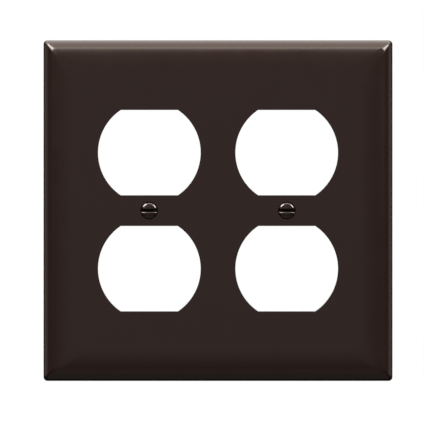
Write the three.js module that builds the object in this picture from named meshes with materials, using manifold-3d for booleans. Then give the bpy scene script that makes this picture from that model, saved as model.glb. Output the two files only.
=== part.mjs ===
// A two-gang cover plate for duplex receptacles, with its two oval-head screws.
//
// Millimetres, +Z up. The origin is on the wall's surface, behind the middle of the plate, and the plate's
// face looks along -Y. Every piece is drawn lying down: x runs to the right, y up the wall and z out of it,
// so z is the height above the wall. One turned group stands them all up.

import * as THREE from "three";
import { mergeVertices } from "three/addons/utils/BufferGeometryUtils.js";
import Module from "manifold-3d";

const wasm = await Module();
wasm.setup();

// Driving dimensions

const INCH = 25.4;
const DEGREE = Math.PI / 180;

const plate = {
  width: 117.1,
  height: 4.5 * INCH,
  depth: 5.8, // from the wall to the flat face
  thickness: 2.3, // of the face
};

// How many degrees steep the face's edge is at each inset from the side, with an arc between each two: a
// tight edge, a shoulder and a crease, then a shallow crown that ends in the flat face.
const edge = [
  { inset: 0, slope: 88 },
  { inset: 0.25, slope: 66 },
  { inset: 1.5, slope: 46 },
  { inset: 2.5, slope: 38 },
  { inset: 2.9, slope: 22 },
  { inset: 5.2, slope: 11 },
  { inset: 11.5, slope: 0 },
];

// The hollow behind it, in the same way: the drafted inner side of the skirt, a fillet and a shallow crown.
const hollow = [
  { inset: 1.9, slope: 85 },
  { inset: 2.65, slope: 22 },
  { inset: 11.5, slope: 0 },
];

// Corner radius of the outline at each inset.
const corners = [
  { inset: 0, radius: 1.35 },
  { inset: 1.5, radius: 1.1 },
  { inset: 2.9, radius: 1.4 },
  { inset: 11.5, radius: 6 },
];

// The openings and their spacing are those of a duplex receptacle, two to a gang.
const gangSpacing = 1.8125 * INCH;
const opening = {
  spacing: 1.531 * INCH,
  radius: 17.2,
  halfHeight: 14.3, // of the flats
  edgeFillet: 0.15,
};

// On the back, each gang has one raised land round its two openings, which seats on the receptacle. A ring of
// rib runs round both gangs, a middle rib parts them, and short ribs tie each land to the ring.
const land = { collar: 1.2, height: 2.0 };
const rib = { thickness: 1.2, height: 2.4, ringInset: 12.4, ringCorner: 6, shortSpacing: 16 };
const footing = 0.5; // how far lands and ribs run into the face

// Number 6-32 oval-head screw, half an inch long.
const screw = {
  length: 0.5 * INCH, // from the widest part of the head to the tip
  majorRadius: (0.138 * INCH) / 2,
  pitch: INCH / 32,
  threadDepth: 0.487,
  headRadius: 2.6,
  headLand: 0.2, // straight side of the head
  coneAngle: 41 * DEGREE, // half of 82 degrees
  slotWidth: 1.0,
  slotDepth: 1.15, // below the middle of the dome
  tipChamfer: 0.35,
  standProud: 0.1, // of the widest part of the head, above the face
};
const screwHole = { radius: 2.0, mouthRadius: 2.95 };

// How many degrees steep the top of the head is at each inset from its side: a rounded rim, then a low dome.
const dome = [
  { inset: 0, slope: 62 },
  { inset: 0.05, slope: 48 },
  { inset: 0.3, slope: 33 },
  { inset: 0.4, slope: 17 },
  { inset: screw.headRadius, slope: 4 },
];

// How many steps a curve is drawn in
const steps = {
  corner: 6,
  edgeArc: 2,
  hollowArc: 4,
  domeArc: 2,
  filletArc: 3,
  openingArc: 14,
  hole: 24,
  turn: 16,
};

// Materials

const brownPlastic = new THREE.MeshStandardMaterial({ color: 0x322826, roughness: 0.3, metalness: 0 });
const brownPaint = new THREE.MeshStandardMaterial({ color: 0x382c29, roughness: 0.25, metalness: 0.1 });

// Solids: three.js geometry in, manifold-3d for the cuts and joins, three.js geometry out

function solidOf(geometry) {
  const bare = geometry.clone();
  for (const name of Object.keys(bare.attributes)) {
    if (name !== "position") bare.deleteAttribute(name);
  }
  const merged = mergeVertices(bare, 1e-4);
  const vertProperties = merged.attributes.position.array;
  const triVerts = faces(merged.index.array);
  return new wasm.Manifold(new wasm.Mesh({ numProp: 3, vertProperties, triVerts }));
}

// The triangles whose three corners differ.
function faces(index) {
  const kept = [];
  for (let i = 0; i < index.length; i += 3) {
    const [a, b, c] = index.slice(i, i + 3);
    if (a !== b && b !== c && c !== a) kept.push(a, b, c);
  }
  return new Uint32Array(kept);
}

function geometryOf(solid) {
  const mesh = solid.getMesh();
  const geometry = new THREE.BufferGeometry();
  geometry.setAttribute("position", new THREE.BufferAttribute(mesh.vertProperties, 3));
  geometry.setIndex(new THREE.BufferAttribute(mesh.triVerts, 1));
  return geometry;
}

// A closed surface over rings of points with equal counts, listed upwards, each ring anticlockwise from
// above.
function ringsGeometry(rings) {
  const count = rings[0].length;
  const index = [];
  for (let ring = 0; ring + 1 < rings.length; ring++) {
    for (let i = 0; i < count; i++) {
      const a = ring * count + i;
      const b = ring * count + ((i + 1) % count);
      index.push(a, b, b + count, a, b + count, a + count);
    }
  }
  const top = (rings.length - 1) * count;
  const flat = rings.map((ring) => ring.map((point) => new THREE.Vector2(point.x, point.y)));
  for (const [a, b, c] of THREE.ShapeUtils.triangulateShape(flat[0], [])) index.push(c, b, a);
  for (const [a, b, c] of THREE.ShapeUtils.triangulateShape(flat.at(-1), [])) {
    index.push(top + a, top + b, top + c);
  }
  return new THREE.BufferGeometry().setFromPoints(rings.flat()).setIndex(index);
}

// A prism between two heights.
function prism(shape, bottom, top, curveSegments) {
  const options = { depth: top - bottom, bevelEnabled: false, curveSegments };
  return solidOf(new THREE.ExtrudeGeometry(shape, options).translate(0, 0, bottom));
}

// Outlines, centred on the origin

function roundedRectangle(width, height, radius) {
  const x = width / 2 - radius;
  const y = height / 2 - radius;
  const quarter = Math.PI / 2;
  return new THREE.Shape()
    .absarc(x, y, radius, 0, quarter)
    .absarc(-x, y, radius, quarter, 2 * quarter)
    .absarc(-x, -y, radius, 2 * quarter, 3 * quarter)
    .absarc(x, -y, radius, 3 * quarter, 4 * quarter);
}

// A circle cut off by two flats, grown outwards by a margin.
function openingShape(margin) {
  const radius = opening.radius + margin;
  const corner = Math.asin((opening.halfHeight + margin) / radius);
  return new THREE.Shape()
    .absarc(0, 0, radius, -corner, corner)
    .absarc(0, 0, radius, Math.PI - corner, Math.PI + corner);
}

// Both openings of a gang and the bridge between them, in one outline with a waist.
function landShape() {
  const radius = opening.radius + land.collar;
  const corner = Math.asin((opening.halfHeight + land.collar) / radius);
  const y = opening.spacing / 2;
  return new THREE.Shape()
    .absarc(0, -y, radius, -corner, corner)
    .absarc(0, y, radius, -corner, corner)
    .absarc(0, y, radius, Math.PI - corner, Math.PI + corner)
    .absarc(0, -y, radius, Math.PI - corner, Math.PI + corner);
}

function barShape(length) {
  const radius = rib.thickness / 2;
  const y = length / 2 - radius;
  return new THREE.Shape().absarc(0, y, radius, 0, Math.PI).absarc(0, -y, radius, Math.PI, 2 * Math.PI);
}

// Profiles, as points of inset from the side and height

// A convex curve that climbs inwards from height 0, through knots of inset and slope.
function slopeProfile(knots, arcSteps) {
  const points = [{ inset: knots[0].inset, height: 0 }];
  for (let k = 1; k < knots.length; k++) {
    const from = knots[k - 1].slope * DEGREE;
    const to = knots[k].slope * DEGREE;
    const radius = (knots[k].inset - knots[k - 1].inset) / (Math.sin(from) - Math.sin(to));
    const start = points.at(-1);
    for (let i = 1; i <= arcSteps; i++) {
      const slope = THREE.MathUtils.lerp(from, to, i / arcSteps);
      const inset = start.inset + radius * (Math.sin(from) - Math.sin(slope));
      points.push({ inset, height: start.height + radius * (Math.cos(slope) - Math.cos(from)) });
    }
  }
  return points;
}

// The same points, moved up or down so that the last is at a height.
function endingAt(top, points) {
  const lift = top - points.at(-1).height;
  return points.map(({ inset, height }) => ({ inset, height: height + lift }));
}

function outerProfile() {
  return [{ inset: 0, height: 0 }, ...endingAt(plate.depth, slopeProfile(edge, steps.edgeArc))];
}

// Starts under the wall's surface, so that the cut is clean.
function hollowProfile() {
  const below = 1;
  const points = endingAt(plate.depth - plate.thickness, slopeProfile(hollow, steps.hollowArc));
  const { inset, height } = points[0];
  const draft = (90 - hollow[0].slope) * DEGREE;
  return [{ inset: inset - (height + below) * Math.tan(draft), height: -below }, ...points];
}

function cornerRadius(inset) {
  const next = Math.max(1, corners.findIndex((corner) => inset < corner.inset + 1e-6));
  const [from, to] = [corners[next - 1], corners[next]];
  return THREE.MathUtils.mapLinear(inset, from.inset, to.inset, from.radius, to.radius);
}

function profileSolid(profile) {
  const rings = profile.map(({ inset, height }) => {
    const outline = roundedRectangle(plate.width - 2 * inset, plate.height - 2 * inset, cornerRadius(inset));
    return ringPoints(outline, height, steps.corner);
  });
  return solidOf(ringsGeometry(rings));
}

function ringPoints(shape, height, divisions) {
  const points = shape.getPoints(divisions).map((point) => new THREE.Vector3(point.x, point.y, height));
  if (points[0].distanceTo(points.at(-1)) < 1e-6) points.pop();
  return points;
}

// The plate

const faceBack = plate.depth - plate.thickness;
const gangs = [-gangSpacing / 2, gangSpacing / 2];
const openingCentres = gangs.flatMap((x) => [-opening.spacing / 2, opening.spacing / 2].map((y) => [x, y]));

// Cuts one opening, with a rounded edge at the face.
function openingCutter() {
  const { edgeFillet } = opening;
  const rings = [ringPoints(openingShape(0), -1, steps.openingArc)];
  for (let i = 0; i <= steps.filletArc; i++) {
    const angle = ((i / steps.filletArc) * Math.PI) / 2;
    const margin = edgeFillet * (1 - Math.cos(angle));
    const height = plate.depth - edgeFillet * (1 - Math.sin(angle));
    rings.push(ringPoints(openingShape(margin), height, steps.openingArc));
  }
  rings.push(ringPoints(openingShape(edgeFillet), plate.depth + 1, steps.openingArc));
  return solidOf(ringsGeometry(rings));
}

// Cuts a clearance hole for the screw, countersunk from the face.
function screwHoleCutter() {
  const { radius, mouthRadius } = screwHole;
  const coneDepth = (mouthRadius - radius) / Math.tan(screw.coneAngle);
  const points = [
    [0, -1],
    [radius, -1],
    [radius, plate.depth - coneDepth],
    [mouthRadius, plate.depth],
    [mouthRadius, plate.depth + 1],
    [0, plate.depth + 1],
  ];
  return revolved(points, steps.hole);
}

function revolved(points, segments) {
  const profile = points.map(([radius, height]) => new THREE.Vector2(radius, height));
  return solidOf(new THREE.LatheGeometry(profile, segments).rotateX(Math.PI / 2));
}

function ringRib() {
  const outer = [plate.width - 2 * rib.ringInset, plate.height - 2 * rib.ringInset];
  const inner = outer.map((size) => size - 2 * rib.thickness);
  const shape = roundedRectangle(...outer, rib.ringCorner);
  shape.holes.push(roundedRectangle(...inner, rib.ringCorner - rib.thickness));
  return prism(shape, rib.height, faceBack + footing, steps.corner);
}

// An upright rib between two heights on the wall, its round ends sunk into what it meets.
function uprightRib(x, low, high) {
  const bar = prism(barShape(high - low + rib.thickness), rib.height, faceBack + footing, steps.corner);
  return bar.translate([x, (low + high) / 2, 0]);
}

function plateSolid() {
  const ringInside = plate.height / 2 - rib.ringInset - rib.thickness;
  const landTop = opening.spacing / 2 + opening.halfHeight + land.collar;
  let solid = profileSolid(outerProfile()).subtract(profileSolid(hollowProfile()));
  solid = solid.add(ringRib()).add(uprightRib(0, -ringInside, ringInside));

  const gangLand = prism(landShape(), land.height, faceBack + footing, steps.openingArc);
  for (const x of gangs) {
    solid = solid.add(gangLand.translate([x, 0, 0]));
    for (const across of [-rib.shortSpacing / 2, rib.shortSpacing / 2]) {
      solid = solid.add(uprightRib(x + across, landTop, ringInside));
      solid = solid.add(uprightRib(x + across, -ringInside, -landTop));
    }
  }

  const cutter = openingCutter();
  for (const [x, y] of openingCentres) solid = solid.subtract(cutter.translate([x, y, 0]));
  const hole = screwHoleCutter();
  for (const x of gangs) solid = solid.subtract(hole.translate([x, 0, 0]));
  return solid;
}

// The screws

// One pitch of thread, as shares of the pitch and of the thread's depth: root, flank, crest, flank.
const THREAD = [
  { along: 0, out: 0 },
  { along: 0.25, out: 0 },
  { along: 0.5625, out: 1 },
  { along: 0.6875, out: 1 },
];

// A rod whose rows of points follow the helix. Rows past either end fall together on the end's own circle,
// the ridge fades out over one pitch at each end, and a chamfer trims the bottom.
function threadedRod(bottom, top) {
  const { majorRadius, threadDepth, pitch, tipChamfer } = screw;
  const rootRadius = majorRadius - threadDepth;
  const rows = [];
  for (let turn = -1; turn * pitch < top - bottom + pitch; turn++) {
    for (const { along, out } of THREAD) rows.push({ start: (turn + along) * pitch, out });
  }
  const points = rows.flatMap(({ start, out }) =>
    Array.from({ length: steps.turn + 1 }, (_, i) => {
      const angle = (i / steps.turn) * 2 * Math.PI;
      const z = THREE.MathUtils.clamp(bottom + start + (i / steps.turn) * pitch, bottom, top);
      const fade = Math.min(1, (z - bottom) / pitch, (top - z) / pitch);
      const radius = Math.min(rootRadius + out * fade * threadDepth, rootRadius - tipChamfer + z - bottom);
      return new THREE.Vector3(radius * Math.cos(angle), radius * Math.sin(angle), z);
    }),
  );
  points.push(new THREE.Vector3(0, 0, bottom), new THREE.Vector3(0, 0, top));

  const width = steps.turn + 1;
  const last = (rows.length - 1) * width;
  const index = [];
  for (let i = 0; i < steps.turn; i++) {
    for (let a = i; a < last; a += width) index.push(a, a + 1, a + 1 + width, a, a + 1 + width, a + width);
    index.push(points.length - 2, i + 1, i, points.length - 1, last + i, last + i + 1);
  }
  return solidOf(new THREE.BufferGeometry().setFromPoints(points).setIndex(index));
}

const domePoints = slopeProfile(dome, steps.domeArc);
const domeHeight = domePoints.at(-1).height;

// The head's underside is a full cone, whose point ends inside the rod.
function screwHead() {
  const { headRadius, headLand, coneAngle } = screw;
  const conePoint = -headLand - headRadius / Math.tan(coneAngle);
  const top = domePoints.slice(0, -1).map(({ inset, height }) => [headRadius - inset, height]);
  return revolved([[0, conePoint], [headRadius, -headLand], ...top, [0, domeHeight]], steps.hole);
}

// The screw points down, with the top edge of its head's straight side at height 0.
function screwSolid() {
  const { headRadius, headLand, coneAngle, slotWidth, slotDepth } = screw;
  const rodInCone = 0.3; // how far the rod runs up into the head's cone
  const coneFoot = -headLand - (headRadius - screw.majorRadius + screw.threadDepth) / Math.tan(coneAngle);
  const slot = new THREE.BoxGeometry(4 * headRadius, slotWidth, 2 * slotDepth).translate(0, 0, domeHeight);
  return threadedRod(-screw.length, coneFoot + rodInCone).add(screwHead()).subtract(solidOf(slot));
}

// The assembly

const onWall = new THREE.Group();
onWall.rotation.x = Math.PI / 2;

const wallPlate = new THREE.Mesh(geometryOf(plateSolid()), brownPlastic);
wallPlate.name = "wall_plate";
onWall.add(wallPlate);

const screwGeometry = geometryOf(screwSolid());
["left_screw", "right_screw"].forEach((name, i) => {
  const piece = new THREE.Mesh(screwGeometry, brownPaint);
  piece.name = name;
  piece.position.set(gangs[i], 0, plate.depth + screw.standProud);
  onWall.add(piece);
});

const assembly = new THREE.Group();
assembly.add(onWall);

export default assembly;
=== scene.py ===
"""The looks of a two-gang duplex receptacle wall plate and its two screws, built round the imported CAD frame.

Shapes are drawn in millimetres, lying down: x runs to the right, y up the wall, and the third number is the
height above the wall. stand() turns a point upright, so that the face looks along -Y, and makes it metres.
"""

import math

import bmesh
import bpy
from mathutils import Matrix, Vector


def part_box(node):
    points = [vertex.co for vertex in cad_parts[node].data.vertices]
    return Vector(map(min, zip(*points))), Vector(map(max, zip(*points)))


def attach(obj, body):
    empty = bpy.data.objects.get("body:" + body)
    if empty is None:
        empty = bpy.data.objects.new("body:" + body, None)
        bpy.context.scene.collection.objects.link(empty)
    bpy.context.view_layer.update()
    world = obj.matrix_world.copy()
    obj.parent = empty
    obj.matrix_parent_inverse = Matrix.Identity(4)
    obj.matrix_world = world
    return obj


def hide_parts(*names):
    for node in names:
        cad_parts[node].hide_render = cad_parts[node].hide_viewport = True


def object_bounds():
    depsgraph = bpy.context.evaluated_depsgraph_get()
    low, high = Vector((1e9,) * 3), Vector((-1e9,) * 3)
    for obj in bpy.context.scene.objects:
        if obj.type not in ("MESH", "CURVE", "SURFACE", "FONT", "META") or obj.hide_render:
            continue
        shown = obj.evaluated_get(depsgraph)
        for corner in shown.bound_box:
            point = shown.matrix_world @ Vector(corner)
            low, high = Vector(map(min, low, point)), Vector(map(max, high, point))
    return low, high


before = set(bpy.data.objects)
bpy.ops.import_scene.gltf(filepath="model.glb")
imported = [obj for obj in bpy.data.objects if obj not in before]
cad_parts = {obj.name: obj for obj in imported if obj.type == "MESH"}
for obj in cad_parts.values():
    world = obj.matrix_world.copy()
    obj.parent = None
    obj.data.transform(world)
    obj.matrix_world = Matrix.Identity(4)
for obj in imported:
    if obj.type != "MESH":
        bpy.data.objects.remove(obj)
cad_low, cad_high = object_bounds()

MM = 0.001
INCH = 25.4
DEGREE = math.pi / 180


# ---------------------------------------------------------------- sizes, from the frame where it holds them

plate_low, plate_high = (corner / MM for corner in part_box("wall_plate"))
PLATE_WIDTH = plate_high.x - plate_low.x
PLATE_HEIGHT = plate_high.z - plate_low.z
PLATE_DEPTH = -plate_low.y
FACE_THICKNESS = 2.3
FACE_BACK = PLATE_DEPTH - FACE_THICKNESS
RIM_ROUNDING = 0.15

# How many degrees steep the face's edge is at each inset from the side, with an arc between each two: a tight
# edge, a shoulder and a crease, then a shallow crown that ends in the flat face
EDGE = [(0, 88), (0.25, 66), (1.5, 46), (2.5, 38), (2.9, 22), (5.2, 11), (11.5, 0)]

# The hollow behind it, in the same way: a drafted skirt, a fillet and a shallow crown
HOLLOW = [(1.9, 85), (2.65, 22), (11.5, 0)]

# Corner radius of the outline at each inset
CORNERS = [(0, 1.35), (1.5, 1.1), (2.9, 1.4), (11.5, 6.0)]

OPENING_SPACING = 1.531 * INCH
OPENING_RADIUS = 17.2
OPENING_HALF_HEIGHT = 14.3
LIP = 0.15  # rounding of an opening's edge at the face

LAND_COLLAR = 1.2
LAND_HEIGHT = 2.0
RIB_THICKNESS = 1.2
RIB_HEIGHT = 2.4
RING_INSET = 12.4
RING_CORNER = 6.0
SHORT_RIB_SPACING = 16.0
BACK_FILLET = 0.2
FOOTING = 0.5  # how far lands and ribs run into the face
RIB_END = RIB_THICKNESS / 4  # how far the middle of a rib's round end is sunk into what it meets
EJECTOR_RADIUS = 2.2
EJECTOR_DEPTH = 0.12

SCREW_LENGTH = 0.5 * INCH
MAJOR_RADIUS = 0.138 * INCH / 2
PITCH = INCH / 32
THREAD_DEPTH = 0.487
ROOT_RADIUS = MAJOR_RADIUS - THREAD_DEPTH
HEAD_RADIUS = 2.6
HEAD_LAND = 0.2
HEAD_EDGE = 0.06  # chamfer below and above the head's straight side
# How many degrees steep the top of the head is at each inset from its side: a rounded rim, then a low dome
DOME = [(0, 62), (0.05, 48), (0.3, 33), (0.4, 17), (HEAD_RADIUS, 4)]
CONE_ANGLE = 41 * DEGREE
SLOT_WIDTH = 1.0
SLOT_LIP = 0.24
SLOT_DEPTH = 1.15
SLOT_HALF_LENGTH = 1.3 * HEAD_RADIUS  # of the cutter
FLOOR_ROUNDING = 0.06
TIP_CHAMFER = 0.35
STAND_PROUD = 0.1
PAINT_DEPTH = 0.5  # how far the paint reaches down the head's cone
HOLE_RADIUS = 2.0
MOUTH_RADIUS = 2.95
HOLE_EDGE = 0.08

# One pitch of thread, as shares of the pitch and of the thread's depth
THREAD = [(0.0, 0.0), (0.16, 0.0), (0.25, 0.06), (0.53, 0.92), (0.59, 1.0), (0.66, 1.0), (0.72, 0.92)]

OVERCUT = 1.0  # how far a cutter runs past what it cuts

# How many steps a curve is drawn in
CORNER_STEPS = 14
EDGE_STEPS = 6
HOLLOW_STEPS = 10
DOME_STEPS = 8
OPENING_STEPS = 48
LAND_STEPS = 40
RIB_END_STEPS = 8
FILLET_STEPS = 4
COLLAR_FILLET_STEPS = 3
LIP_STEPS = 6
HOLE_STEPS = 48
EJECTOR_STEPS = 32
TURN_STEPS = 40
SLOT_STEPS = 28

screw_x = [sum(corner.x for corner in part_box(name)) / 2 / MM for name in ("left_screw", "right_screw")]


# ---------------------------------------------------------------- outlines and profiles

def stand(point):
    """A lying point in millimetres, as an upright one in metres."""
    x, y, height = point
    return Vector((x, -height, y)) * MM


def arc(x, y, radius, start, end, steps):
    """Points of an arc, both ends included."""
    angles = [start + (end - start) * i / steps for i in range(steps + 1)]
    return [(x + radius * math.cos(a), y + radius * math.sin(a)) for a in angles]


def circle(x, y, radius, steps):
    return arc(x, y, radius, 0, 2 * math.pi, steps)[:-1]


def rounded_rectangle(width, height, radius):
    x = width / 2 - radius
    y = height / 2 - radius
    quarter = math.pi / 2
    centres = [(x, y), (-x, y), (-x, -y), (x, -y)]
    points = []
    for i, (cx, cy) in enumerate(centres):
        points += arc(cx, cy, radius, i * quarter, (i + 1) * quarter, CORNER_STEPS)
    return points


def opening_outline(margin, x, y):
    """A circle cut off by two flats, grown outwards by a margin."""
    radius = OPENING_RADIUS + margin
    corner = math.asin((OPENING_HALF_HEIGHT + margin) / radius)
    right = arc(x, y, radius, -corner, corner, OPENING_STEPS)
    left = arc(x, y, radius, math.pi - corner, math.pi + corner, OPENING_STEPS)
    return right + left


def land_outline(margin, x):
    """Both openings of a gang and the bridge between them, in one outline with a waist."""
    radius = OPENING_RADIUS + LAND_COLLAR + margin
    corner = math.asin((OPENING_HALF_HEIGHT + LAND_COLLAR + margin) / radius)
    y = OPENING_SPACING / 2
    points = []
    for side, turn in ((-1, 0), (1, 0), (1, math.pi), (-1, math.pi)):
        points += arc(x, side * y, radius, turn - corner, turn + corner, LAND_STEPS)
    return points


def rib_outline(margin, x, low, high):
    """A straight rib with round ends, whose middles are at two heights on the wall."""
    radius = RIB_THICKNESS / 2 + margin
    top = arc(x, high, radius, 0, math.pi, RIB_END_STEPS)
    bottom = arc(x, low, radius, math.pi, 2 * math.pi, RIB_END_STEPS)
    return top + bottom


def corner_radius(inset):
    for (low, first), (high, last) in zip(CORNERS, CORNERS[1:]):
        if inset <= high:
            return first + (last - first) * (inset - low) / (high - low)
    return CORNERS[-1][1]


def plate_outline(inset):
    return rounded_rectangle(PLATE_WIDTH - 2 * inset, PLATE_HEIGHT - 2 * inset, corner_radius(inset))


def slope_profile(knots, steps):
    """(inset, height) points of a convex curve that climbs inwards from height 0, through knots of inset and
    slope."""
    points = [(knots[0][0], 0)]
    for (inset, slope), (next_inset, next_slope) in zip(knots, knots[1:]):
        first, last = slope * DEGREE, next_slope * DEGREE
        radius = (next_inset - inset) / (math.sin(first) - math.sin(last))
        height = points[-1][1]
        for i in range(1, steps + 1):
            angle = first + (last - first) * i / steps
            step_in = radius * (math.sin(first) - math.sin(angle))
            step_up = radius * (math.cos(angle) - math.cos(first))
            points.append((inset + step_in, height + step_up))
    return points


def ending_at(top, points):
    """The same points, moved up or down so that the last is at a height."""
    lift = top - points[-1][1]
    return [(inset, height + lift) for inset, height in points]


def outer_profile():
    edge = ending_at(PLATE_DEPTH, slope_profile(EDGE, EDGE_STEPS))
    return [(RIM_ROUNDING, 0), (0, RIM_ROUNDING)] + edge


def hollow_profile():
    """Starts below the wall's surface, so that the cut is clean."""
    points = ending_at(FACE_BACK, slope_profile(HOLLOW, HOLLOW_STEPS))
    inset, height = points[0]
    draft = (90 - HOLLOW[0][1]) * DEGREE
    return [(inset - (height + OVERCUT) * math.tan(draft), -OVERCUT)] + points


def fillet_profile(low, fillet, steps):
    """(margin, height) points of a hole's rounded edge that faces the wall, from its lowest point up."""
    angles = [i / steps * math.pi / 2 for i in range(steps + 1)]
    return [(fillet * (1 - math.sin(a)), low + fillet * (1 - math.cos(a))) for a in angles]


def rings_of(outline, profile):
    """A ring at each height of a profile, along the outline that its other number gives."""
    return [[(x, y, height) for x, y in outline(size)] for size, height in profile]


# ---------------------------------------------------------------- mesh helpers

def add_loft(bm, rings, material):
    """A closed surface over rings of equal counts, listed upwards, each anticlockwise seen from the front."""
    loops = [[bm.verts.new(stand(point)) for point in ring] for ring in rings]
    count = len(rings[0])
    faces = [bm.faces.new(list(reversed(loops[0]))), bm.faces.new(loops[-1])]
    for low, high in zip(loops, loops[1:]):
        for i in range(count):
            j = (i + 1) % count
            faces.append(bm.faces.new((low[i], low[j], high[j], high[i])))
    for face in faces:
        face.material_index = material


def solid(name, material, *lofts):
    """A scratch object of one or more closed lofts."""
    bm = bmesh.new()
    for rings in lofts:
        add_loft(bm, rings, material)
    return object_from(bm, name)


def object_from(bm, name):
    bmesh.ops.recalc_face_normals(bm, faces=bm.faces)
    mesh = bpy.data.meshes.new(name)
    bm.to_mesh(mesh)
    bm.free()
    made = bpy.data.objects.new(name, mesh)
    bpy.context.scene.collection.objects.link(made)
    return made


def combine(target, tool, operation):
    """Joins or cuts target with tool, which is used up."""
    modifier = target.modifiers.new(operation, "BOOLEAN")
    modifier.operation = operation
    modifier.solver = "EXACT"
    modifier.object = tool
    modifier.material_mode = "INDEX"
    bake(target)
    bpy.data.objects.remove(tool)


def bake(made):
    """Applies an object's modifiers to its mesh."""
    depsgraph = bpy.context.evaluated_depsgraph_get()
    mesh = bpy.data.meshes.new_from_object(made.evaluated_get(depsgraph))
    made.modifiers.clear()
    made.data = mesh


def smooth(made, angle):
    """Smooth shading, with creases over an angle and normals that keep flat faces flat."""
    made.data.shade_smooth()
    made.data.set_sharp_from_angle(angle=angle)
    modifier = made.modifiers.new("weighted normals", "WEIGHTED_NORMAL")
    modifier.keep_sharp = True
    modifier.weight = 100


def finish_piece(made, body, node, materials):
    for material in materials:
        made.data.materials.append(material)
    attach(made, body)
    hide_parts(node)


# ---------------------------------------------------------------- the plate

# Material slots of the plate: glossy front, matte back, and the faces cut by the openings and screw holes,
# which get a darker, duller brown as painted shade
FRONT_FINISH, BACK_FINISH, WALL_SHADE = 0, 1, 2
PLATE_CREASE = 32 * DEGREE


def filleted_prism(outline, low):
    """Rises from a rounded edge, which faces the wall, to inside the face. outline() takes a margin."""
    rings = rings_of(lambda margin: outline(-margin), fillet_profile(low, BACK_FILLET, FILLET_STEPS))
    return rings + rings_of(outline, [(0, FACE_BACK + FOOTING)])


def ring_rib():
    """A frame with round corners, one solid."""
    width = PLATE_WIDTH - 2 * RING_INSET
    height = PLATE_HEIGHT - 2 * RING_INSET
    inner_width = width - 2 * RIB_THICKNESS
    inner_height = height - 2 * RIB_THICKNESS
    inner_corner = RING_CORNER - RIB_THICKNESS

    def outside(margin):
        return rounded_rectangle(width + 2 * margin, height + 2 * margin, RING_CORNER + margin)

    def inside(margin):
        return rounded_rectangle(inner_width + 2 * margin, inner_height + 2 * margin, inner_corner + margin)

    rib = solid("ring rib", BACK_FINISH, filleted_prism(outside, RIB_HEIGHT))
    hole = [(BACK_FILLET, RIB_HEIGHT - OVERCUT)]
    hole += fillet_profile(RIB_HEIGHT, BACK_FILLET, FILLET_STEPS)
    hole.append((0, FACE_BACK + OVERCUT))
    combine(rib, solid("ring hole", BACK_FINISH, rings_of(inside, hole)), "DIFFERENCE")
    return rib


def upright_rib(x, low, high):
    """Runs between two heights on the wall, with its round ends sunk into what it meets."""
    def outline(margin):
        return rib_outline(margin, x, low - RIB_END, high + RIB_END)

    return filleted_prism(outline, RIB_HEIGHT)


def gang_land(x):
    return filleted_prism(lambda margin: land_outline(margin, x), LAND_HEIGHT)


def opening_cutter(x, y):
    """Rounds the opening's edge at the face, and a little at the back of its collar."""
    profile = [(BACK_FILLET, -OVERCUT)]
    profile += fillet_profile(LAND_HEIGHT, BACK_FILLET, COLLAR_FILLET_STEPS)
    for i in range(LIP_STEPS + 1):
        angle = i / LIP_STEPS * math.pi / 2
        profile.append((LIP * (1 - math.cos(angle)), PLATE_DEPTH - LIP * (1 - math.sin(angle))))
    profile.append((LIP, PLATE_DEPTH + OVERCUT))
    return rings_of(lambda margin: opening_outline(margin, x, y), profile)


def screw_hole_cutter(x):
    """A clearance hole, countersunk from the face."""
    cone_depth = (MOUTH_RADIUS - HOLE_RADIUS) / math.tan(CONE_ANGLE)
    profile = [
        (HOLE_RADIUS + HOLE_EDGE, -OVERCUT),
        (HOLE_RADIUS + HOLE_EDGE, LAND_HEIGHT),
        (HOLE_RADIUS, LAND_HEIGHT + HOLE_EDGE),
        (HOLE_RADIUS, PLATE_DEPTH - cone_depth),
        (MOUTH_RADIUS - HOLE_EDGE * math.sin(CONE_ANGLE), PLATE_DEPTH - HOLE_EDGE),
        (MOUTH_RADIUS + HOLE_EDGE / 2, PLATE_DEPTH),
        (MOUTH_RADIUS + HOLE_EDGE / 2, PLATE_DEPTH + OVERCUT),
    ]
    return rings_of(lambda radius: circle(x, 0, radius, HOLE_STEPS), profile)


def ejector_cutter(x, y):
    """A shallow round mark in the back of the face."""
    profile = [(EJECTOR_RADIUS, FACE_BACK - OVERCUT), (EJECTOR_RADIUS, FACE_BACK + EJECTOR_DEPTH)]
    return rings_of(lambda radius: circle(x, y, radius, EJECTOR_STEPS), profile)


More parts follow.
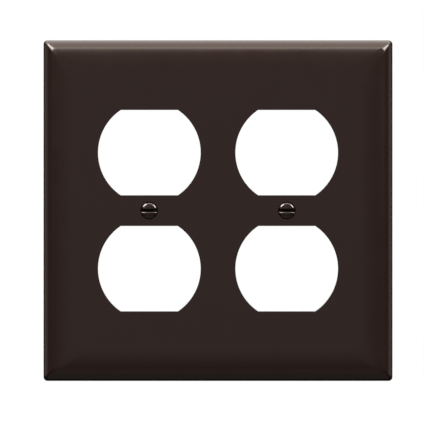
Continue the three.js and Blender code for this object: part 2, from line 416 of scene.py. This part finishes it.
def build_plate():
    plate = solid("wall plate moulding", FRONT_FINISH, rings_of(plate_outline, outer_profile()))
    combine(plate, solid("hollow", BACK_FINISH, rings_of(plate_outline, hollow_profile())), "DIFFERENCE")

    ring_inside = PLATE_HEIGHT / 2 - RING_INSET - RIB_THICKNESS
    land_top = OPENING_SPACING / 2 + OPENING_HALF_HEIGHT + LAND_COLLAR
    ribs = ring_rib()
    combine(ribs, solid("middle rib", BACK_FINISH, upright_rib(0, -ring_inside, ring_inside)), "UNION")
    shorts = []
    for x in screw_x:
        for across in (-SHORT_RIB_SPACING / 2, SHORT_RIB_SPACING / 2):
            shorts.append(upright_rib(x + across, land_top, ring_inside))
            shorts.append(upright_rib(x + across, -ring_inside, -land_top))
    combine(ribs, solid("short ribs", BACK_FINISH, *shorts), "UNION")
    combine(ribs, solid("lands", BACK_FINISH, *[gang_land(x) for x in screw_x]), "UNION")
    combine(plate, ribs, "UNION")

    cutters = [screw_hole_cutter(x) for x in screw_x]
    for x in screw_x:
        cutters += [opening_cutter(x, side * OPENING_SPACING / 2) for side in (-1, 1)]
    # Faces left by the cutters, in the openings and the screw holes, take the darker, duller brown: painted
    # shade
    combine(plate, solid("cutters", WALL_SHADE, *cutters), "DIFFERENCE")

    mark_y = (ring_inside + land_top) / 2
    corner_x = PLATE_WIDTH / 2 - RING_INSET - RING_CORNER
    marks = [ejector_cutter(x, side * mark_y) for x in [*screw_x, -corner_x, corner_x] for side in (-1, 1)]
    combine(plate, solid("marks", BACK_FINISH, *marks), "DIFFERENCE")
    plate.name = plate.data.name = "plate_moulding"
    smooth(plate, PLATE_CREASE)
    return plate


# ---------------------------------------------------------------- the screws

# Material slots of a screw: head paint, zinc, and the slot's walls and floor, which get a near-black, dull
# brown as painted shade
PAINT, ZINC, SLOT_SHADE = 0, 1, 2
SCREW_CREASE = 34 * DEGREE
NEAR = 0.0001 * MM  # points closer than this are one point

dome_profile = slope_profile(DOME, DOME_STEPS)


def dome_height(radius):
    """Height of the top of the head at a distance from its axis."""
    points = [(HEAD_RADIUS - inset, height) for inset, height in dome_profile]
    for (outer, low), (inner, high) in zip(points, points[1:]):
        if radius >= inner:
            return low + (high - low) * (outer - radius) / (outer - inner)
    return points[-1][1]


def head_profile():
    """(radius, height) points from the cone's foot to the edge of the dome's middle."""
    foot = -HEAD_LAND - (HEAD_RADIUS - ROOT_RADIUS) / math.tan(CONE_ANGLE)
    points = [
        (ROOT_RADIUS, foot),
        (HEAD_RADIUS - HEAD_EDGE * math.sin(CONE_ANGLE), -HEAD_LAND - HEAD_EDGE),
        (HEAD_RADIUS, -HEAD_LAND + HEAD_EDGE),
    ]
    return points + [(HEAD_RADIUS - inset, height) for inset, height in dome_profile[:-1]]


def slot_cutter(x, seat):
    """A straight slot whose flared lips follow the dome, as sections along it."""
    half = SLOT_WIDTH / 2
    top = dome_height(0) + OVERCUT
    floor = dome_height(0) - SLOT_DEPTH
    rings = []
    for i in range(SLOT_STEPS + 1):
        along = SLOT_HALF_LENGTH * (2 * i / SLOT_STEPS - 1)
        surface = dome_height(min(math.hypot(along, half + SLOT_LIP), HEAD_RADIUS))
        lip = arc(half + SLOT_LIP, surface - SLOT_LIP, SLOT_LIP, math.pi, math.pi / 2, LIP_STEPS)
        right = [(half - FLOOR_ROUNDING, floor), (half, floor + FLOOR_ROUNDING), *lip, (half + SLOT_LIP, top)]
        left = [(-across, height) for across, height in reversed(right)]
        rings.append([(x + along, across, seat + height) for across, height in right + left])
    return rings


def thread_rows(bottom, top):
    """Rows of points that follow the helix. Rows past either end fall together on the end's own circle, the
    ridge fades out over one pitch at each end, and a chamfer trims the bottom."""
    rows = []
    turns = math.ceil((top - bottom) / PITCH) + 1
    for turn in range(-1, turns):
        for along, out in THREAD:
            row = []
            for i in range(TURN_STEPS + 1):
                share = i / TURN_STEPS
                height = min(max(bottom + (turn + along + share) * PITCH, bottom), top)
                fade = min(1, (height - bottom) / PITCH, (top - height) / PITCH)
                ridge = ROOT_RADIUS + out * fade * THREAD_DEPTH
                radius = min(ridge, ROOT_RADIUS - TIP_CHAMFER + height - bottom)
                angle = share * 2 * math.pi
                row.append((radius * math.cos(angle), radius * math.sin(angle), height))
            rows.append(row)
    return rows


def add_rod(bm, x, seat, foot):
    """The threaded rod, open at the top, where its last ring is the foot of the head's cone."""
    rows = thread_rows(-SCREW_LENGTH, foot)
    grid = [[bm.verts.new(stand((x + px, py, seat + height))) for px, py, height in row] for row in rows]
    tip = bm.verts.new(stand((x, 0, seat - SCREW_LENGTH)))
    faces = []
    for i in range(TURN_STEPS):
        faces.append(bm.faces.new((tip, grid[0][i + 1], grid[0][i])))
        for low, high in zip(grid, grid[1:]):
            faces.append(bm.faces.new((low[i], low[i + 1], high[i + 1], high[i])))
    for face in faces:
        face.material_index = ZINC


def slotted_head(x, seat):
    profile = [(radius, seat + height) for radius, height in head_profile()]
    rings = rings_of(lambda radius: circle(x, 0, radius, TURN_STEPS), profile)
    head = solid("head", PAINT, rings)
    # The slot's faces take the near-black brown: painted shade in the slot
    combine(head, solid("slot", SLOT_SHADE, slot_cutter(x, seat)), "DIFFERENCE")
    return head


def build_screw(name, x):
    seat = PLATE_DEPTH + STAND_PROUD
    foot = head_profile()[0][1]
    head = slotted_head(x, seat)
    bm = bmesh.new()
    bm.from_mesh(head.data)
    bpy.data.objects.remove(head)

    # The head opens at the cone's foot, where the rod joins it
    foot_y = stand((0, 0, seat + foot)).y
    cap = [face for face in bm.faces if all(abs(vert.co.y - foot_y) < NEAR for vert in face.verts)]
    bmesh.ops.delete(bm, geom=cap, context="FACES_ONLY")

    # The cone's lower part is bare, and the slot's lips are painted like the dome; the slot's walls and floor
    # keep the near-black brown, which is painted shade
    bare_below = stand((0, 0, seat - HEAD_LAND - PAINT_DEPTH)).y
    slot_floor = stand((0, 0, seat + dome_height(0) - SLOT_DEPTH)).y
    for face in bm.faces:
        centre = face.calc_center_median().y
        if centre > bare_below:
            face.material_index = ZINC
        elif face.normal.y < -0.5 and centre < slot_floor - 2 * FLOOR_ROUNDING * MM:
            face.material_index = PAINT

    add_rod(bm, x, seat, foot)
    bmesh.ops.remove_doubles(bm, verts=bm.verts, dist=NEAR)
    bmesh.ops.dissolve_degenerate(bm, edges=bm.edges, dist=NEAR / 10)
    screw = object_from(bm, name)
    smooth(screw, SCREW_CREASE)
    return screw


# ---------------------------------------------------------------- materials

GLOSS_BROWN = (0.0199, 0.0111, 0.0098)
WALL_SHADE_BROWN = (0.0120, 0.0067, 0.0059)
# Darker brown for the openings' walls and lips and for the screw holes: painted shade
PAINT_BROWN = (0.0175, 0.0100, 0.0090)
# Near-black brown for the slot's walls and floor: painted shade
SLOT_SHADE_BROWN = (0.008, 0.0045, 0.004)
ZINC_BLUE = (0.52, 0.53, 0.56, 1)
ZINC_YELLOW = (0.62, 0.61, 0.58, 1)

ZINC_ROUGHNESS = (0.25, 0.4)

COLOR_DRIFT = 0.03
GLOSS_DRIFT = 0.015
COAT_ROUGHNESS = 0.06
COAT_IOR = 1.8

# Scales of the noises, per metre
TINT_SCALE = 60
GLOSS_SCALE = 150
ZINC_TINT_SCALE = 500
ZINC_GLOSS_SCALE = 1500
NOISE_RANGE = (0.3, 0.7)  # where most of a noise's values lie


def new_material(name):
    material = bpy.data.materials.new(name)
    material.use_nodes = True
    return material, material.node_tree.nodes, material.node_tree.links


def noise(nodes, links, coordinates, scale, detail):
    made = nodes.new("ShaderNodeTexNoise")
    made.inputs["Scale"].default_value = scale
    made.inputs["Detail"].default_value = detail
    links.new(coordinates, made.inputs["Vector"])
    return made.outputs["Fac"]


def remap(nodes, links, value, low, high):
    made = nodes.new("ShaderNodeMapRange")
    made.inputs["From Min"].default_value = NOISE_RANGE[0]
    made.inputs["From Max"].default_value = NOISE_RANGE[1]
    made.inputs["To Min"].default_value = low
    made.inputs["To Max"].default_value = high
    links.new(value, made.inputs["Value"])
    return made.outputs["Result"]


def blend(nodes, links, value, first, second):
    """Two colours, mixed by a value."""
    mix = nodes.new("ShaderNodeMix")
    mix.data_type = "RGBA"
    mix.inputs["A"].default_value = first
    mix.inputs["B"].default_value = second
    links.new(value, mix.inputs["Factor"])
    return mix.outputs["Result"]


def plastic(name, color, roughness, bump_scale, bump_height, specular=1.0, coat=0.0):
    """Moulded plastic or paint: a little drift of colour and gloss, and a fine skin."""
    material, nodes, links = new_material(name)
    shader = nodes["Principled BSDF"]
    shader.inputs["Specular IOR Level"].default_value = specular
    shader.inputs["Coat Weight"].default_value = coat
    shader.inputs["Coat Roughness"].default_value = COAT_ROUGHNESS
    shader.inputs["Coat IOR"].default_value = COAT_IOR
    place = nodes.new("ShaderNodeTexCoord").outputs["Object"]
    darker = [*[c * (1 - COLOR_DRIFT) for c in color], 1]
    paler = [*[c * (1 + COLOR_DRIFT) for c in color], 1]
    clouds = noise(nodes, links, place, TINT_SCALE, 3)
    links.new(blend(nodes, links, clouds, darker, paler), shader.inputs["Base Color"])
    patches = noise(nodes, links, place, GLOSS_SCALE, 2)
    gloss = remap(nodes, links, patches, roughness - GLOSS_DRIFT, roughness + GLOSS_DRIFT)
    links.new(gloss, shader.inputs["Roughness"])
    bump = nodes.new("ShaderNodeBump")
    bump.inputs["Distance"].default_value = bump_height
    bump.inputs["Strength"].default_value = 1.0
    links.new(noise(nodes, links, place, bump_scale, 2), bump.inputs["Height"])
    links.new(bump.outputs["Normal"], shader.inputs["Normal"])
    return material


def zinc_plate():
    material, nodes, links = new_material("zinc plated steel")
    shader = nodes["Principled BSDF"]
    shader.inputs["Metallic"].default_value = 1.0
    place = nodes.new("ShaderNodeTexCoord").outputs["Object"]
    clouds = noise(nodes, links, place, ZINC_TINT_SCALE, 3)
    links.new(blend(nodes, links, clouds, ZINC_BLUE, ZINC_YELLOW), shader.inputs["Base Color"])
    patches = noise(nodes, links, place, ZINC_GLOSS_SCALE, 2)
    links.new(remap(nodes, links, patches, *ZINC_ROUGHNESS), shader.inputs["Roughness"])
    return material


def plate_materials():
    """In the order glossy front, matte back, and the darker brown in the openings and screw holes, which is
    painted shade.
    """
    front = plastic("brown plastic", GLOSS_BROWN, roughness=0.22, bump_scale=900, bump_height=0.000002)
    back = plastic("brown plastic back", GLOSS_BROWN, roughness=0.45, bump_scale=3500, bump_height=0.00001)
    # The openings' and holes' material is darker and reflects less than the face: painted shade
    wall = plastic("painted shade in the openings and holes", WALL_SHADE_BROWN, roughness=0.4, bump_scale=3500,
                   bump_height=0.000004, specular=0.4)
    return [front, back, wall]


def screw_materials():
    """In the order head paint, zinc, and the near-black brown in the slot, which is painted shade."""
    paint = plastic("brown screw paint", PAINT_BROWN, roughness=0.24, bump_scale=2500,
                    bump_height=0.000002, specular=0.6, coat=1.0)
    zinc = zinc_plate()
    # The slot's material is near black and reflects little: painted shade
    slot = plastic("painted shade in the slot", SLOT_SHADE_BROWN, roughness=0.7, bump_scale=2500,
                   bump_height=0.00001, specular=0.2)
    return [paint, zinc, slot]


# ---------------------------------------------------------------- studio

# The room: a direction from the object, an inner and an outer angle, and the radiance of each colour
ROOM_BASE = (0.01, 0.0097, 0.0094)
ROOM = [
    ((-0.05, -1, -0.08), 0, 17, (0.066, 0.0645, 0.0625)),
    ((-0.05, -1, -0.08), 0, 31, (0.058, 0.0565, 0.0545)),
    ((0, -0.91, 0.41), 4, 14, (0.05, 0.048, 0.045)),
    ((0, -0.268, -1), 33, 48, (0.124, 0.098, 0.080)),
    ((-1, 0.36, 0), 3, 18, (0.24, 0.215, 0.200)),
    ((1, 0.36, 0), 3, 18, (0.27, 0.245, 0.223)),
    ((-1, 0.58, 0), 2, 8, (0.12, 0.105, 0.095)),
    ((1, 0.58, 0), 2, 8, (0.12, 0.110, 0.105)),
]


def lobe(nodes, links, direction, toward, inner, outer):
    """1 within the inner angle of a direction, falling to 0 at the outer angle."""
    dot = nodes.new("ShaderNodeVectorMath")
    dot.operation = "DOT_PRODUCT"
    dot.inputs[1].default_value = Vector(toward).normalized()
    links.new(direction, dot.inputs[0])
    fade = nodes.new("ShaderNodeMapRange")
    fade.interpolation_type = "SMOOTHSTEP"
    fade.inputs["From Min"].default_value = math.cos(outer)
    fade.inputs["From Max"].default_value = math.cos(inner)
    links.new(dot.outputs["Value"], fade.inputs["Value"])
    return fade.outputs["Result"]


def build_world():
    """A white sweep to the camera. To the object it is a dim room with brighter parts."""
    world = bpy.data.worlds.new("studio")
    bpy.context.scene.world = world
    world.use_nodes = True
    nodes, links = world.node_tree.nodes, world.node_tree.links
    nodes.clear()
    direction = nodes.new("ShaderNodeTexCoord").outputs["Generated"]
    total = None
    for toward, inner, outer, radiance in ROOM:
        added = nodes.new("ShaderNodeVectorMath")
        added.operation = "MULTIPLY_ADD"
        added.inputs[1].default_value = radiance
        added.inputs[2].default_value = ROOM_BASE
        links.new(lobe(nodes, links, direction, toward, inner * DEGREE, outer * DEGREE), added.inputs[0])
        if total is not None:
            links.new(total, added.inputs[2])
        total = added.outputs["Vector"]
    room = nodes.new("ShaderNodeBackground")
    links.new(total, room.inputs["Color"])
    sweep = nodes.new("ShaderNodeBackground")
    sweep.inputs["Color"].default_value = (1, 1, 1, 1)
    mix = nodes.new("ShaderNodeMixShader")
    links.new(nodes.new("ShaderNodeLightPath").outputs["Is Camera Ray"], mix.inputs["Fac"])
    links.new(room.outputs[0], mix.inputs[1])
    links.new(sweep.outputs[0], mix.inputs[2])
    links.new(mix.outputs[0], nodes.new("ShaderNodeOutputWorld").inputs["Surface"])


# Softboxes round the object: name, azimuth, polar range, half width, radiance and colour. The azimuth counts
# from the right towards the top, as the camera sees it, and the polar range from straight in front.
COOL = (0.83, 0.94, 1.0)
WARM = (1.0, 0.93, 0.87)
WARMER = (1.0, 0.88, 0.80)
WARMEST = (1.0, 0.86, 0.76)
LAMP_DISTANCE = 1.5
REAR = 120  # a lamp that starts behind this polar angle lights the back, and has no reflection in the rim
LAMPS = [
    ("top softbox", 90, (43.5, 150), 30, 1.35, WARMEST),
    ("top strip", 90, (53, 68), 30, 1.6, WARMEST),
    ("top rear strip", 90, (108, 150), 30, 0.46, COOL),
    ("left softbox", 130, (39, 90), 14, 9.5, WARMER),
    ("right softbox", 41.5, (43, 85), 13.5, 8.8, WARMER),
    ("left strip", 126, (90, 119), 16, 1.6, WARM),
    ("right strip", 54, (90, 119), 16, 1.6, WARM),
    ("left rear softbox", 130, (125, 150), 14, 6.0, WARM),
    ("right rear softbox", 50, (125, 150), 14, 6.0, WARM),
]


def softbox(name, azimuth, polar_range, half_width, radiance, color):
    """An area light of one radiance that faces the object, unseen by the camera."""
    low, high = (angle * DEGREE for angle in polar_range)
    polar = (low + high) / 2
    around = azimuth * DEGREE
    outward = Vector((math.cos(around), 0, math.sin(around)))
    front = Vector((0, -1, 0))
    toward = outward * math.sin(polar) + front * math.cos(polar)
    along = outward * math.cos(polar) - front * math.sin(polar)
    light = bpy.data.lights.new(name, "AREA")
    light.shape = "RECTANGLE"
    light.size = 2 * LAMP_DISTANCE * math.tan(half_width * DEGREE)
    light.size_y = 2 * LAMP_DISTANCE * math.tan((high - low) / 2)
    light.energy = radiance * math.pi * light.size * light.size_y
    light.color = color
    lamp = bpy.data.objects.new(name, light)
    lamp.location = toward * LAMP_DISTANCE
    lamp.rotation_euler = Matrix((along.cross(toward), along, toward)).transposed().to_euler()
    lamp.visible_camera = False
    lamp.visible_glossy = polar_range[0] < REAR
    bpy.context.scene.collection.objects.link(lamp)


FLOOR_DROP = 0.3
FLOOR_RADIUS = 1.2
FLOOR_SEGMENTS = 96
FLOOR_GREY = (0.86, 0.86, 0.85, 1)
FLOOR_ROUGHNESS = 0.8
FADE_START = 0.2 * FLOOR_RADIUS
FADE_END = 0.95 * FLOOR_RADIUS


def build_floor():
    """A pale floor well below the plate, which fades into the white sweep and lights nothing."""
    bm = bmesh.new()
    bmesh.ops.create_circle(bm, cap_ends=True, radius=FLOOR_RADIUS, segments=FLOOR_SEGMENTS)
    floor = object_from(bm, "floor")
    floor.location.z = cad_low.z - FLOOR_DROP
    material, nodes, links = new_material("pale floor")
    shader = nodes["Principled BSDF"]
    shader.inputs["Base Color"].default_value = FLOOR_GREY
    shader.inputs["Roughness"].default_value = FLOOR_ROUGHNESS
    clear = nodes.new("ShaderNodeBsdfTransparent")
    distance = nodes.new("ShaderNodeVectorMath")
    distance.operation = "LENGTH"
    links.new(nodes.new("ShaderNodeTexCoord").outputs["Object"], distance.inputs[0])
    fade = nodes.new("ShaderNodeMapRange")
    fade.interpolation_type = "SMOOTHSTEP"
    fade.inputs["From Min"].default_value = FADE_START
    fade.inputs["From Max"].default_value = FADE_END
    links.new(distance.outputs["Value"], fade.inputs["Value"])
    below = nodes.new("ShaderNodeNewGeometry").outputs["Backfacing"]
    most = nodes.new("ShaderNodeMath")
    most.operation = "MAXIMUM"
    links.new(fade.outputs["Result"], most.inputs[0])
    links.new(below, most.inputs[1])
    mix = nodes.new("ShaderNodeMixShader")
    links.new(most.outputs[0], mix.inputs["Fac"])
    links.new(shader.outputs[0], mix.inputs[1])
    links.new(clear.outputs[0], mix.inputs[2])
    links.new(mix.outputs[0], nodes["Material Output"].inputs["Surface"])
    floor.data.materials.append(material)
    floor.visible_glossy = False
    floor.visible_diffuse = False
    floor.visible_shadow = False


# ---------------------------------------------------------------- camera

LENS = 400.0
SENSOR = 36.0
VIEW_WIDTH = 142.67 * MM
CAMERA_X = -1.85 * MM
CAMERA_Z = -0.63 * MM


def build_camera():
    data = bpy.data.cameras.new("camera")
    data.lens = LENS
    data.sensor_width = SENSOR
    data.clip_start = 0.01
    data.clip_end = 20
    camera = bpy.data.objects.new("camera", data)
    camera.location = (CAMERA_X, -VIEW_WIDTH * LENS / SENSOR, CAMERA_Z)
    camera.rotation_euler = (math.pi / 2, 0, 0)
    bpy.context.scene.collection.objects.link(camera)
    bpy.context.scene.camera = camera


# ---------------------------------------------------------------- the scene

build_camera()
finish_piece(build_plate(), "plate", "wall_plate", plate_materials())
screw_finishes_and_shade = screw_materials()
for node, x in zip(("left_screw", "right_screw"), screw_x):
    finish_piece(build_screw(node + "_turned", x), node, node, screw_finishes_and_shade)

build_world()
for lamp in LAMPS:
    softbox(*lamp)
build_floor()
bpy.context.scene.view_settings.view_transform = "Standard"
